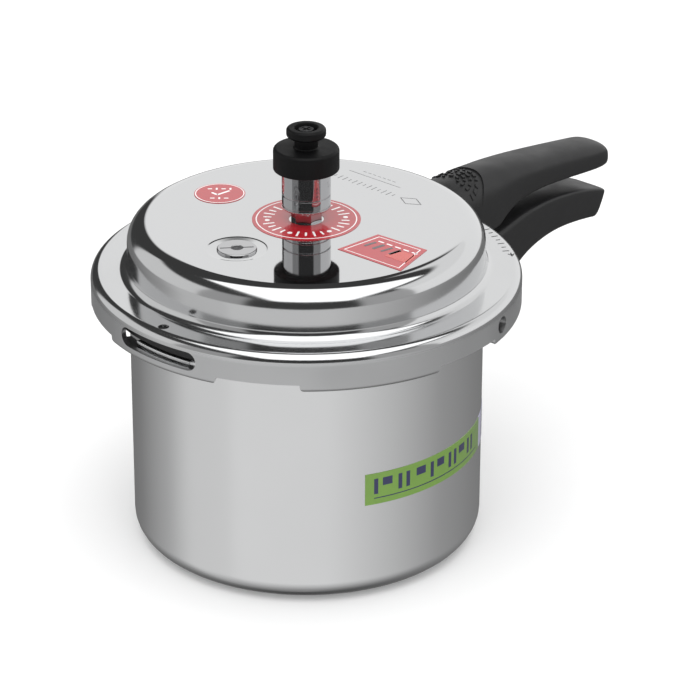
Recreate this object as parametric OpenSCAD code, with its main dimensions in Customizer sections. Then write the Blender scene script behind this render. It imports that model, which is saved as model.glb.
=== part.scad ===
// Stovetop pressure cooker, outer-lid pattern: an aluminium pot, a bayonet lid that locks under six
// rim lugs, two nested side handles and a lift-off weight on the vent tube.
// Frame: origin on the base at the pot's axis, +Z up, both handles along +X.

/* [Pot] */
// Outside diameter of the pot wall
pot_od = 184; // [180:1:188]
// Thickness of the pot wall
pot_wall = 3.2; // [2.6:0.1:3.6]
// Thickness of the pot floor
pot_floor = 4.5; // [3.5:0.1:6]
// Radius of the rounding between floor and wall
pot_corner_r = 12; // [8:1:16]
// Height of the rim above the base
rim_top = 136.2; // [136:0.1:136.4]
// Angular width of one rim lug
lug_deg = 20; // [16:1:21]

/* [Lid] */
// Height of the flat lid top above the base
lid_top = 174.4; // [172:0.1:178]
// Outside radius of the raised drum
drum_r = 92.5; // [91:0.1:93]
// Outside radius of the skirt
skirt_r = 111.6; // [111.2:0.1:112]
// Thickness of the lid metal
sheet = 3; // [2.8:0.1:3.1]
// Angular width of one skirt tab
tab_deg = 38; // [34:1:38]

/* [Handles] */
// Distance from the pot's axis to the handles' tips
handle_tip = 241.5; // [238:0.5:246]
// Half width of the handles at the butt
butt_half = 18; // [17.5:0.1:19]
// Half width of the handles at the tip
tip_half = 13.2; // [12:0.1:14]

/* [Weight] */
// Outside diameter of the steel sleeve
sleeve_od = 25.2; // [24.8:0.1:26]
// Outside diameter of the cap
cap_od = 34; // [32:0.5:36]
// Outside diameter of the pull knob
knob_od = 20.4; // [18:0.1:22]
// Height of the vent tube above the lid
vent_h = 22; // [21.5:0.1:22]

/* [Markings] */
// Radius of the round sticker about the vent
vent_sticker_r = 28; // [26:0.5:30]
// Radius of the small round sticker
check_sticker_r = 13.4; // [12:0.1:14]
// Height of the pot's label band
label_h = 17.5; // [14:0.5:20]

/* [Hidden] */
$fn = 128;

aluminium = [0.80, 0.81, 0.82];
polished = [0.88, 0.88, 0.89];
steel = [0.66, 0.68, 0.70];
bakelite = [0.09, 0.09, 0.09];
rubber = [0.13, 0.13, 0.14];
brass = [0.78, 0.62, 0.32];
fusible = [0.25, 0.25, 0.26];
sticker_red = [0.78, 0.12, 0.14];
label_green = [0.40, 0.62, 0.20];

// Pot
pot_r = pot_od / 2;
rim_t = 4.2;
rim_under = rim_top - rim_t;
rim_r = pot_r + 8;
lug_r = pot_r + 15;
lug_count = 6;
lug_pitch = 360 / lug_count;
flare_r = 3;

// Lid
shoulder_r = 11;
fillet_r = 7;
edge_r = 5.5;
ledge_z = lid_top - 25.2;
ledge_under = ledge_z - sheet;
lip_t = 2.4;
lip_top = rim_under - 0.3;
tab_z = lip_top - lip_t;
skirt_z = tab_z + 4.2;
lip_r = rim_r + 1.5;
skirt_in = skirt_r - sheet;
lid_under = lid_top - sheet;
drum_in = drum_r - sheet;
gasket_lip = 3;
window_h = 10;
window_z = skirt_z + 0.3 + window_h / 2;
window_deg = 26.8;
window_reach = 14;
side_hole_deg = -75;
side_hole_r = 4.5;
side_hole_z = 138.4;
ledge_hole_r = 2.75;
ledge_hole_x = -(skirt_r - 7.2);

// Vent and safety plug
hex_af = 14;
vent_shank_r = 5;
vent_bore_r = 1.6;
vent_hex_h = 8;
vent_top = lid_top + vent_h;
vent_tube_r = 3.75;
countersink = 1;
nut_af = 17;
nut_h = 6;
washer_t = 1;
vent_washer_r = 9;
plug_x = -51.5;
plug_flange_r = 10.2;
plug_flange_t = 2;
plug_shank_r = 4.8;
plug_alloy_r = 3;
plug_slot_deg = -42;
dimple_depth = 2.2;
dimple_r = 15;
dimple_floor_r = 11.5;
dimple_floor = lid_top - dimple_depth;
dimple_under = dimple_floor - sheet;
plug_washer_t = 0.8;
plug_washer_r = 8.6;
plug_slot = [17, 0.9, 0.8];
plug_face = dimple_floor + plug_washer_t + plug_flange_t;
plug_end = dimple_floor - 11.2;
plug_nut_h = 5.5;
fit = 0.05;

// Weight, measured from the lid top
sleeve_r = sleeve_od / 2;
sleeve_z = lid_top + 7;
sleeve_top = lid_top + 35.2;
sleeve_step = lid_top + 24.2;
sleeve_bore_r = 9.6;
core_r = sleeve_r - 1.15;
core_top = lid_top + 37.1;
needle_r = 2.6;
needle_collar_r = 4;
needle_top = sleeve_step + 6.1;
screw_r = 2;
screw_end = needle_top + 1.9;
cap_z = lid_top + 28;
cap_top = lid_top + 39.8;
cap_edge_r = 1.8;
waist_r = 6.1;
knob_z = lid_top + 45.6;
knob_top = lid_top + 50.6;
knob_edge_r = 1.6;
dish_r = 5.5;
dish_z = knob_top - 2.7;
groove_z = [sleeve_z + 1.8, sleeve_z + 7.5];
groove_w = 0.8;
groove_d = 0.5;

// Handles and their brackets
saddle_t = 2;
saddle_deg = 21;
lid_saddle_z = ledge_z + fillet_r - 0.4;
lid_saddle_h = 5.6;
lid_rivet_deg = 7.85;
lid_rivet_z = ledge_z + 9.4;
rivet_r = 2;
tongue_half = 9;
tongue_t = 2.5;
tongue_top_z = ledge_z + 7.3;
tongue_low_z = 143.8;
tongue_end = 172;
tongue_bend_x = 128;
lid_screw_x = [138, 162];
lid_screw_r = 2.2;
insert_r = 4;
insert_h = 8.5;
screw_head_r = 4;
screw_head_h = 2.8;
screw_washer_t = 0.8;
pot_tongue_z = 113.5;
pot_tongue_end = 168;
pot_saddle_z = 92;
pot_saddle_h = 28;
pot_rivet_deg = 7.2;
pot_rivet_z = [98, 110];
pot_screw_x = [125, 152];
pot_screw_r = 2.4;
pot_screw_head_z = 101;
pot_screw_end = 121;
pot_nut_h = 3.5;
pot_nut_half = 4;
butt_x = 90;
butt_cut_x = 80;
crown_top = 175.8;
crown_r = 9;
crown_drop = 5.6;
rivet_room_h = 12.2;
pot_rivet_head_r = [3.6, 3];
lid_rivet_head_r = [3, 2.6];
rivet_head_h = [1.6, 1.3];
clear = 0.2;
eps = 0.5;
// Longer than any height in the model, for cuts that run right through
through = 300;

// Stickers and label
sticker_t = 0.2;
vent_sticker_hole_r = 9;
check_sticker_pos = [-5.8, 56.4];
label_from_deg = -118.7;
label_sweep_deg = 77;
label_z = 54;

// Points along an arc about [cx, cz], from angle a0 to a1
function arc(cx, cz, r, a0, a1, n = 9) =
    [for (i = [0:n]) let (a = a0 + (a1 - a0) * i / n) [cx + r * cos(a), cz + r * sin(a)]];

// A ring-shaped block between two radii
module ring(r_in, r_out, z, h) {
    translate([0, 0, z])
        difference() {
            cylinder(r = r_out, h = h);
            translate([0, 0, -1]) cylinder(r = r_in, h = h + 2);
        }
}

// A sector of a ring, centred on angle mid
module sector(r_in, r_out, z, h, mid, sweep) {
    rotate([0, 0, mid - sweep / 2])
        rotate_extrude(angle = sweep) translate([r_in, z]) square([r_out - r_in, h]);
}

// A cylinder that points outward from the pot's axis
module radial(r, r_in, r_out, z, a) {
    rotate([0, 0, a]) translate([r_in, 0, z]) rotate([0, 90, 0])
        cylinder(r = r, h = r_out - r_in, $fn = 48);
}

// Cuts a screw's cross slot, from height z up
module cross_slot(long, z) {
    translate([-long / 2, -0.5, z]) cube([long, 1, 2.2]);
    translate([-0.5, -long / 2, z]) cube([1, long, 2.2]);
}

module hex_prism(af, z, h) {
    translate([0, 0, z]) cylinder(r = af / 2 / cos(30), h = h, $fn = 6);
}

// A rivet along a radius, with a head at each end of its shank
module radial_rivet(wall_in, wall_out, head_r, z, a) {
    radial(rivet_r, wall_in - eps, wall_out + eps, z, a);
    // the inner head stops where its rim meets the curved wall
    head_top = sqrt(wall_in * wall_in - head_r[0] * head_r[0]) - 0.02;
    radial(head_r[0], wall_in - rivet_head_h[0], head_top, z, a);
    radial(head_r[1], wall_out, wall_out + rivet_head_h[1], z, a);
}

// ---- Pot ----

module pot_profile() {
    in_r = pot_r - pot_wall;
    in_corner = pot_corner_r - pot_wall;
    polygon(concat(
        [[0, 0]],
        arc(pot_r - pot_corner_r, pot_corner_r, pot_corner_r, -90, 0),
        arc(pot_r + flare_r, rim_under - flare_r, flare_r, 180, 90, 6),
        [[rim_r, rim_under], [rim_r, rim_top]],
        arc(in_r + 1.5, rim_top - 1.5, 1.5, 90, 180, 4),
        arc(in_r - in_corner, pot_floor + in_corner, in_corner, 0, -90),
        [[0, pot_floor]]));
}

module pot_body() {
    color(aluminium)
        difference() {
            union() {
                rotate_extrude() pot_profile();
                for (i = [0:lug_count - 1])
                    sector(rim_r - 1, lug_r, rim_under, rim_t, i * lug_pitch, lug_deg);
            }
            for (a = [-pot_rivet_deg, pot_rivet_deg], z = pot_rivet_z)
                radial(rivet_r, pot_r - 10, pot_r + 4, z, a);
        }
}

module pot_label() {
    color(label_green)
        rotate([0, 0, label_from_deg])
            rotate_extrude(angle = label_sweep_deg)
                translate([pot_r, label_z]) square([sticker_t, label_h]);
}

module pot_handle_bracket() {
    color(steel)
        difference() {
            union() {
                sector(pot_r, pot_r + saddle_t, pot_saddle_z, pot_saddle_h, 0, saddle_deg);
                translate([pot_r, -tongue_half, pot_tongue_z])
                    cube([pot_tongue_end - pot_r, 2 * tongue_half, tongue_t]);
            }
            cylinder(r = pot_r, h = through);
            for (a = [-pot_rivet_deg, pot_rivet_deg], z = pot_rivet_z)
                radial(rivet_r, pot_r - 10, pot_r + 10, z, a);
            for (x = pot_screw_x)
                translate([x, 0, pot_tongue_z - 1]) cylinder(r = pot_screw_r + clear, h = 10, $fn = 48);
        }
}

module pot_bracket_rivets() {
    color(aluminium)
        for (a = [-pot_rivet_deg, pot_rivet_deg], z = pot_rivet_z)
            radial_rivet(pot_r - pot_wall, pot_r + saddle_t, pot_rivet_head_r, z, a);
}

// Outline of a handle seen from above: a tapering bar with a rounded tip
module handle_plan(inner) {
    tip_round = 9;
    polygon(concat(
        [[inner, -butt_half], [inner + 20, -butt_half + 0.7], [150, -15.5]],
        arc(handle_tip - tip_round, -tip_half + tip_round, tip_round, -90, 0),
        arc(handle_tip - tip_round, tip_half - tip_round, tip_round, 0, 90),
        [[150, 15.5], [inner + 20, butt_half - 0.7], [inner, butt_half]]));
}

// Cuts the handle's long upper edges round: a bar along X with a rounded top at height z
module crown(z, half, r, drop) {
    rotate([0, drop, 0])
        rotate([90, 0, 90])
            linear_extrude(through)
                union() {
                    translate([-half, 0]) square([2 * half, z - r]);
                    translate([-half + r, 0]) square([2 * (half - r), z]);
                    for (s = [-1, 1]) translate([s * (half - r), z - r]) circle(r = r, $fn = 64);
                }
}

module side_profile(points, half) {
    translate([0, half, 0]) rotate([90, 0, 0]) linear_extrude(2 * half) polygon(points);
}

function pot_handle_side() = concat(
    [[butt_x, 76], [110, 76.5], [125, 79.5], [138, 86], [150, 95], [160, 102], [170, 106.8],
     [188, 110.4], [207, 109.6], [222, 107.3], [handle_tip - 11, 107.5]],
    arc(handle_tip - 5, 119.5, 4.5, -20, 70, 5),
    [[222, 127.4], [204, 130.8], [185, 132.8], [167, 132.3], [150, 129.2], [138, 127.2],
     [113, 126.4], [butt_x, 126.2]]);

module pot_handle() {
    color(bakelite)
        difference() {
            intersection() {
                side_profile(pot_handle_side(), 30);
                linear_extrude(through) handle_plan(butt_x);
            }
            cylinder(r = pot_r + saddle_t + 2, h = through);
            // room for the rivet heads behind the butt face
            intersection() {
                cylinder(r = pot_r + saddle_t + 4.6, h = through);
                translate([butt_cut_x, -15, pot_saddle_z - 2]) cube([40, 30, pot_saddle_h + 2]);
            }
            // slot for the bracket's tongue, with room above it for the nuts
            translate([butt_cut_x, -tongue_half - clear, pot_tongue_z - clear])
                cube([pot_tongue_end + 1 - butt_cut_x, 2 * (tongue_half + clear), tongue_t + 2 * clear]);
            translate([butt_cut_x, -pot_nut_half - 1, pot_tongue_z])
                cube([pot_screw_x[1] + 6 - butt_cut_x, 2 * (pot_nut_half + 1), tongue_t + pot_nut_h + 2]);
            for (x = pot_screw_x)
                translate([x, 0, 0]) {
                    cylinder(r = screw_head_r + 0.5, h = pot_screw_head_z + screw_head_h, $fn = 48);
                    cylinder(r = pot_screw_r + clear, h = pot_screw_end + 1, $fn = 48);
                }
        }
}

module pot_handle_screws() {
    color(steel)
        for (x = pot_screw_x)
            translate([x, 0, pot_screw_head_z])
                difference() {
                    union() {
                        cylinder(r = screw_head_r, h = screw_head_h, $fn = 48);
                        cylinder(r = pot_screw_r, h = pot_screw_end - pot_screw_head_z, $fn = 48);
                    }
                    cross_slot(6, -1);
                }
}

module pot_handle_nuts() {
    color(steel)
        for (x = pot_screw_x)
            translate([x, 0, pot_tongue_z + tongue_t])
                difference() {
                    translate([-pot_nut_half, -pot_nut_half, 0])
                        cube([2 * pot_nut_half, 2 * pot_nut_half, pot_nut_h]);
                    translate([0, 0, -1]) cylinder(r = pot_screw_r + fit, h = pot_nut_h + 2, $fn = 48);
                }
}

// ---- Lid ----

// Section of the lid, down to the lip turned inward at the foot of each tab
module lid_profile() {
    polygon(concat(
        [[0, lid_top]],
        arc(drum_r - shoulder_r, lid_top - shoulder_r, shoulder_r, 90, 0),
        arc(drum_r + fillet_r, ledge_z + fillet_r, fillet_r, 180, 270),
        arc(skirt_r - edge_r, ledge_z - edge_r, edge_r, 90, 0, 6),
        arc(skirt_r - lip_t, tab_z + lip_t, lip_t, 0, -90, 5),
        [[lip_r, tab_z], [lip_r, lip_top], [skirt_in, lip_top]],
        arc(skirt_r - edge_r, ledge_z - edge_r, edge_r - sheet, 0, 90, 4),
        arc(drum_r + fillet_r, ledge_z + fillet_r, fillet_r + sheet, 270, 180),
        arc(drum_r - shoulder_r, lid_top - shoulder_r, shoulder_r - sheet, 0, 90),
        [[0, lid_under]]));
}

// Gaps between the tabs, which the rim lugs pass through
module tab_gaps() {
    for (i = [0:lug_count - 1])
        sector(lip_r - 2, skirt_r + 2, tab_z - 1, skirt_z - tab_z + 1, (i + 0.5) * lug_pitch,
               lug_pitch - tab_deg);
}

// Slot through the skirt with round ends
module gasket_window() {
    half = skirt_r * sin(window_deg / 2) - window_h / 2;
    translate([-skirt_r - 2, 0, window_z])
        rotate([90, 0, 90])
            linear_extrude(window_reach)
                union() {
                    square([2 * half, window_h], center = true);
                    for (s = [-1, 1]) translate([s * half, 0]) circle(r = window_h / 2);
                }
}

module lid_shell() {
    color(polished)
        difference() {
            union() {
                rotate_extrude() lid_profile();
                translate([plug_x, 0, dimple_under]) cylinder(r = dimple_r - 1, h = dimple_depth + eps);
            }
            tab_gaps();
            gasket_window();
            radial(side_hole_r, skirt_in - 2, skirt_r + 2, side_hole_z, side_hole_deg);
            translate([ledge_hole_x, 0, ledge_under - 1])
                cylinder(r = ledge_hole_r, h = sheet + 2, $fn = 48);
            for (a = [-lid_rivet_deg, lid_rivet_deg])
                radial(rivet_r, drum_in - 2, drum_r + 2, lid_rivet_z, a);
            translate([0, 0, lid_under - 1]) cylinder(r = vent_shank_r + fit, h = sheet + 2, $fn = 48);
            translate([plug_x, 0, dimple_floor])
                cylinder(r1 = dimple_floor_r, r2 = dimple_r, h = dimple_depth);
            translate([plug_x, 0, dimple_floor + dimple_depth]) cylinder(r = dimple_r, h = 1);
            translate([plug_x, 0, dimple_under - 1])
                cylinder(r = plug_shank_r + fit, h = sheet + 2, $fn = 48);
        }
}

// Ring of C section, open towards the steam
module gasket() {
    low = rim_top + 0.3;
    high = ledge_under - 0.1;
    inner = pot_r - 1;
    outer = skirt_r - edge_r - 0.1;
    color(rubber)
        rotate_extrude()
            difference() {
                translate([inner, low]) square([outer - inner, high - low]);
                translate([inner - 1, low + gasket_lip])
                    square([outer - inner - 2, high - low - 2 * gasket_lip]);
            }
}

module lid_handle_bracket() {
    color(steel)
        difference() {
            union() {
                sector(drum_r, drum_r + saddle_t, lid_saddle_z, lid_saddle_h, 0, saddle_deg);
                side_profile([
                    [drum_r - 1, tongue_top_z], [114.5, tongue_top_z], [123, tongue_low_z],
                    [tongue_end, tongue_low_z], [tongue_end, tongue_low_z + tongue_t],
                    [124.5, tongue_low_z + tongue_t], [116, tongue_top_z + tongue_t],
                    [drum_r - 1, tongue_top_z + tongue_t]], tongue_half);
            }
            cylinder(r = drum_r, h = through);
            for (a = [-lid_rivet_deg, lid_rivet_deg])
                radial(rivet_r, drum_in - 2, drum_r + 4, lid_rivet_z, a);
            for (x = lid_screw_x)
                translate([x, 0, tongue_low_z - 1]) cylinder(r = lid_screw_r + clear, h = 5, $fn = 48);
        }
}

module lid_bracket_rivets() {
    color(aluminium)
        for (a = [-lid_rivet_deg, lid_rivet_deg])
            radial_rivet(drum_in, drum_r + saddle_t, lid_rivet_head_r, lid_rivet_z, a);
}

function lid_handle_side() = concat(
    [[butt_x, 149.8], [112, 149.8], [112, 128.2], [139, 128.2], [144, 133], [150, 136.8],
     [160, 139.3], [179, 140.5], [204, 138.5], [226, 136.2]],
    arc(handle_tip - 3, 138.6, 3, -90, 0, 4),
    arc(handle_tip - 11.5, 139.5, 11.5, 0, 75, 6),
    [[226, 151.8], [190, 157], [150, 162], [112, 163.6], [butt_x, 162.6]]);

module lid_handle() {
    color(bakelite)
        difference() {
            intersection() {
                side_profile(lid_handle_side(), 30);
                linear_extrude(through) handle_plan(butt_x);
                crown(crown_top, butt_half, crown_r, crown_drop);
            }
            cylinder(r = drum_r + saddle_t + 0.5, h = through);
            ring(drum_in, skirt_r + 0.6, 0, ledge_z + 0.6);
            ring(drum_in, drum_r + fillet_r, 0, ledge_z + 2);
            // room for the rivet heads behind the butt face
            intersection() {
                cylinder(r = drum_r + saddle_t + 2, h = through);
                translate([butt_cut_x, -16, ledge_z]) cube([40, 32, rivet_room_h]);
            }
            // channel that the bracket's tongue lies in, open below
            translate([butt_cut_x, -tongue_half - clear, 0])
                cube([tongue_bend_x - butt_cut_x, 2 * (tongue_half + clear), tongue_top_z + tongue_t + clear]);
            translate([skirt_r, -tongue_half - clear, 0])
                cube([tongue_end + 1 - skirt_r, 2 * (tongue_half + clear), tongue_low_z + tongue_t + clear]);
            for (x = lid_screw_x)
                translate([x, 0, tongue_low_z])
                    cylinder(r = insert_r, h = tongue_t + clear + insert_h, $fn = 48);
        }
}

module lid_handle_inserts() {
    color(brass)
        for (x = lid_screw_x)
            translate([x, 0, tongue_low_z + tongue_t + clear])
                difference() {
                    cylinder(r = insert_r, h = insert_h, $fn = 48);
                    translate([0, 0, -1]) cylinder(r = lid_screw_r + fit, h = insert_h, $fn = 48);
                }
}

module lid_handle_screws() {
    head_z = tongue_low_z - screw_washer_t - screw_head_h;
    color(steel)
        for (x = lid_screw_x)
            translate([x, 0, head_z])
                difference() {
                    union() {
                        cylinder(r = screw_head_r, h = screw_head_h, $fn = 48);
                        cylinder(r = lid_screw_r, h = screw_head_h + screw_washer_t + tongue_t + 6, $fn = 48);
                    }
                    cross_slot(6, -1);
                }
}

module lid_handle_washers() {
    color(steel)
        for (x = lid_screw_x)
            translate([x, 0, 0])
                ring(lid_screw_r + clear, screw_head_r + 0.8, tongue_low_z - screw_washer_t, screw_washer_t);
}

// ---- Vent and safety plug ----

module vent_tube() {
    shank_end = lid_under - washer_t - nut_h - 4;
    color(steel)
        difference() {
            union() {
                hex_prism(hex_af, lid_top, vent_hex_h);
                translate([0, 0, lid_top]) cylinder(r = vent_tube_r, h = vent_h);
                translate([0, 0, shank_end])
                    cylinder(r = vent_shank_r, h = lid_top - shank_end + 1, $fn = 64);
            }
            translate([0, 0, shank_end - 1])
                cylinder(r = vent_bore_r, h = vent_top - shank_end + 2, $fn = 48);
            translate([0, 0, vent_top - countersink])
                cylinder(r1 = vent_bore_r, r2 = vent_bore_r + countersink, h = countersink, $fn = 48);
        }
}

module vent_washer() {
    color(aluminium) ring(vent_shank_r + fit, vent_washer_r, lid_under - washer_t, washer_t);
}

module vent_nut() {
    color(steel)
        difference() {
            hex_prism(nut_af, lid_under - washer_t - nut_h, nut_h);
            translate([0, 0, lid_under - washer_t - nut_h - 1])
                cylinder(r = vent_shank_r + fit, h = nut_h + 2, $fn = 64);
        }
}

module safety_plug() {
    flange_z = plug_face - plug_flange_t;
    color(polished)
        translate([plug_x, 0, 0])
            difference() {
                union() {
                    translate([0, 0, flange_z])
                        rotate_extrude()
                            polygon(concat([[0, 0], [plug_flange_r, 0]],
                                arc(plug_flange_r - 0.6, plug_flange_t - 0.6, 0.6, 0, 90, 3),
                                [[0, plug_flange_t]]));
                    translate([0, 0, plug_end])
                        cylinder(r = plug_shank_r, h = flange_z - plug_end + 1, $fn = 64);
                }
                translate([0, 0, plug_end - 1])
                    cylinder(r = plug_alloy_r, h = plug_face - plug_end + 2, $fn = 48);
                rotate([0, 0, plug_slot_deg])
                    translate([-plug_slot[0] / 2, -plug_slot[1] / 2, plug_face - plug_slot[2]])
                        cube([plug_slot[0], plug_slot[1], plug_slot[2] + 1]);
            }
}

module safety_plug_alloy() {
    low = plug_end + 0.5;
    color(fusible)
        translate([plug_x, 0, low]) cylinder(r = plug_alloy_r, h = plug_face - 0.3 - low, $fn = 48);
}

module safety_plug_washer() {
    color(rubber)
        translate([plug_x, 0, 0]) ring(plug_shank_r + fit, plug_washer_r, dimple_floor, plug_washer_t);
}

module safety_plug_nut() {
    color(steel)
        translate([plug_x, 0, 0])
            difference() {
                hex_prism(hex_af, dimple_under - plug_nut_h, plug_nut_h);
                translate([0, 0, dimple_under - plug_nut_h - 1])
                    cylinder(r = plug_shank_r + fit, h = plug_nut_h + 2, $fn = 64);
            }
}

// ---- Stickers ----

module vent_sticker() {
    color(sticker_red) ring(vent_sticker_hole_r, vent_sticker_r, lid_top, sticker_t);
}

module check_sticker() {
    color(sticker_red)
        translate([check_sticker_pos[0], check_sticker_pos[1], lid_top])
            cylinder(r = check_sticker_r, h = sticker_t);
}

module corner_sticker() {
    color(sticker_red)
        translate([0, 0, lid_top])
            linear_extrude(sticker_t) polygon([[-18, -38], [-16.8, -79.2], [11.5, -72], [9.7, -40.6]]);
}

// ---- Weight ----

module weight_needle() {
    cone_z = vent_top - 1.4;
    cone_h = 1.7;
    collar_z = sleeve_step - 1.6;
    color(steel) {
        translate([0, 0, cone_z]) cylinder(r1 = 0.9, r2 = needle_r, h = cone_h, $fn = 48);
        translate([0, 0, cone_z + cone_h])
            cylinder(r = needle_r, h = needle_top - cone_z - cone_h, $fn = 64);
        translate([0, 0, collar_z]) cylinder(r = needle_collar_r, h = 1.3, $fn = 64);
    }
}

module weight_core() {
    color(steel)
        difference() {
            translate([0, 0, sleeve_step]) cylinder(r = core_r - fit, h = core_top - sleeve_step);
            translate([0, 0, sleeve_step - 1])
                cylinder(r = needle_r + fit, h = needle_top + 0.3 - sleeve_step + 1, $fn = 64);
            translate([0, 0, screw_end - 0.2]) cylinder(r = screw_r + fit, h = 20, $fn = 48);
        }
}

module weight_sleeve() {
    chamfer = 0.8;
    color(steel)
        rotate_extrude()
            difference() {
                polygon([[sleeve_bore_r, sleeve_z], [sleeve_r - chamfer, sleeve_z], [sleeve_r, sleeve_z + chamfer],
                         [sleeve_r, sleeve_top], [core_r, sleeve_top], [core_r, sleeve_step],
                         [sleeve_bore_r, sleeve_step]]);
                for (z = groove_z)
                    translate([sleeve_r - groove_d, z - groove_w / 2]) square([groove_d + 1, groove_w]);
            }
}

module weight_cap() {
    color(bakelite)
        rotate_extrude()
            difference() {
                polygon(concat(
                    [[0, cap_z], [cap_od / 2, cap_z]],
                    arc(cap_od / 2 - cap_edge_r, cap_top - cap_edge_r, cap_edge_r, 0, 90, 4),
                    [[waist_r, cap_top], [waist_r, knob_z]],
                    arc(knob_od / 2 - knob_edge_r, knob_z + knob_edge_r, knob_edge_r, -90, 0, 4),
                    arc(knob_od / 2 - knob_edge_r, knob_top - knob_edge_r, knob_edge_r, 0, 90, 4),
                    [[dish_r, knob_top], [dish_r - 0.5, dish_z], [0, dish_z]]));
                translate([0, cap_z - 1]) square([sleeve_r + fit, core_top + fit - cap_z + 1]);
                square([screw_r + clear, through]);
            }
}

module weight_screw() {
    color(steel)
        difference() {
            union() {
                translate([0, 0, screw_end]) cylinder(r = screw_r, h = dish_z - screw_end, $fn = 48);
                translate([0, 0, dish_z]) cylinder(r = 3.8, h = 1.8, $fn = 48);
            }
            cross_slot(5.6, dish_z + 0.7);
        }
}

pot_body();
pot_label();
pot_handle_bracket();
pot_bracket_rivets();
pot_handle();
pot_handle_screws();
pot_handle_nuts();
lid_shell();
gasket();
lid_handle_bracket();
lid_bracket_rivets();
lid_handle();
lid_handle_inserts();
lid_handle_screws();
lid_handle_washers();
vent_tube();
vent_washer();
vent_nut();
safety_plug();
safety_plug_alloy();
safety_plug_washer();
safety_plug_nut();
vent_sticker();
check_sticker();
corner_sticker();
weight_needle();
weight_core();
weight_sleeve();
weight_cap();
weight_screw();
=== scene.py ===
import math

import bpy
from mathutils import Matrix, Vector


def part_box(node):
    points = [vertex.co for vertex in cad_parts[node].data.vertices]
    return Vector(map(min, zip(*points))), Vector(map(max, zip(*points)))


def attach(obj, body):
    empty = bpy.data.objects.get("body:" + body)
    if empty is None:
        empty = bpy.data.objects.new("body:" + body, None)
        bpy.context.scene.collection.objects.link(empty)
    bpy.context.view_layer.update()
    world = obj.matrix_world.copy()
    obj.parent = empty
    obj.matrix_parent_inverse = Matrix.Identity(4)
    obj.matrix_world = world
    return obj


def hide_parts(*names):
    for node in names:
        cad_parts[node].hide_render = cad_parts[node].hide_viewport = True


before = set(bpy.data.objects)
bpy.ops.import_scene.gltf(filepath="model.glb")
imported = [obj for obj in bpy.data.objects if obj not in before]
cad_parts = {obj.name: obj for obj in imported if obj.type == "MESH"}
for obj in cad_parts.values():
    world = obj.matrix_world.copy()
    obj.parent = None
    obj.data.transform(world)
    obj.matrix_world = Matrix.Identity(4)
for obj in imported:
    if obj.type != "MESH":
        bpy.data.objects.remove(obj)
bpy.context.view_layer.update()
scene = bpy.context.scene
mm = 0.001  # every size below is in millimetres
doubleGap = 0.002 * mm
print("frame loaded")


# Small tools for working in edit mode

def deselectAll():
    if bpy.context.object and bpy.context.object.mode == "EDIT":
        bpy.ops.object.mode_set(mode="OBJECT")
    bpy.ops.object.select_all(action="DESELECT")


def pick(piece):
    deselectAll()
    piece.select_set(True)
    bpy.context.view_layer.objects.active = piece


def openUp(piece):
    # edit mode, with the whole piece selected
    pick(piece)
    bpy.ops.object.mode_set(mode="EDIT")
    bpy.ops.mesh.select_all(action="SELECT")


def pushOut(offset):
    # extrudes what is selected in edit mode
    bpy.ops.mesh.extrude_region_move(TRANSFORM_OT_translate={"value": offset})


def nameIt(name):
    piece = bpy.context.object
    piece.name = name
    piece.data.name = name
    return piece


def pickFaces(piece, wanted):
    # leaves edit mode with only the wanted faces selected
    bpy.context.tool_settings.mesh_select_mode = (False, False, True)
    bpy.ops.object.mode_set(mode="EDIT")
    bpy.ops.mesh.select_all(action="DESELECT")
    bpy.ops.object.mode_set(mode="OBJECT")
    for face in piece.data.polygons:
        face.select = wanted(face.center / mm, face.normal)
    bpy.ops.object.mode_set(mode="EDIT")


def tidyShell():
    # welds the doubles and turns every face outwards, in edit mode
    bpy.ops.mesh.select_all(action="SELECT")
    bpy.ops.mesh.remove_doubles(threshold=doubleGap)
    bpy.ops.mesh.normals_make_consistent(inside=False)
    bpy.ops.object.mode_set(mode="OBJECT")


def drawOutline(name, points):
    # a plane merged to one point, then drawn out from corner to corner; stays in edit mode
    deselectAll()
    bpy.context.tool_settings.mesh_select_mode = (True, False, False)
    bpy.ops.mesh.primitive_plane_add(size=mm, location=(0, 0, 0))
    piece = nameIt(name)
    bpy.ops.object.mode_set(mode="EDIT")
    bpy.ops.mesh.select_all(action="SELECT")
    bpy.ops.mesh.merge(type="CENTER")
    points = [Vector(point) * mm for point in points]
    bpy.ops.transform.translate(value=points[0])
    for here, there in zip(points, points[1:]):
        bpy.ops.mesh.extrude_vertices_move(TRANSFORM_OT_translate={"value": there - here})
    bpy.ops.mesh.select_all(action="SELECT")
    bpy.ops.mesh.remove_doubles(threshold=doubleGap)
    return piece


def rounded(corners, segments=5, closed=True):
    # (across, up, radius) corners to points; a radius above 0 becomes an arc
    points = []
    for place, (across, up, radius) in enumerate(corners):
        here = Vector((across, up))
        if radius == 0 or (not closed and place in (0, len(corners) - 1)):
            points.append(here)
            continue
        back = (Vector(corners[place - 1][:2]) - here).normalized()
        on = (Vector(corners[(place + 1) % len(corners)][:2]) - here).normalized()
        half = back.angle(on) / 2
        centre = here + (back + on).normalized() * radius / math.sin(half)
        start = here + back * radius / math.tan(half) - centre
        end = here + on * radius / math.tan(half) - centre
        sweep = math.atan2(start.x * end.y - start.y * end.x, start.dot(end))
        for step in range(segments + 1):
            angle = math.atan2(start.y, start.x) + sweep * step / segments
            points.append(centre + Vector((math.cos(angle), math.sin(angle))) * radius)
    if closed:
        points.append(points[0].copy())
    return points


def turned(name, outline, centre=(0, 0), steps=180):
    # an outline of (radius, height) points, spun about a vertical axis
    x, y = centre
    piece = drawOutline(name, [(x + radius, y, height) for radius, height in outline])
    bpy.ops.mesh.select_all(action="SELECT")
    bpy.ops.mesh.spin(steps=steps, angle=2 * math.pi, center=(x * mm, y * mm, 0), axis=(0, 0, 1))
    tidyShell()
    return piece


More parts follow.
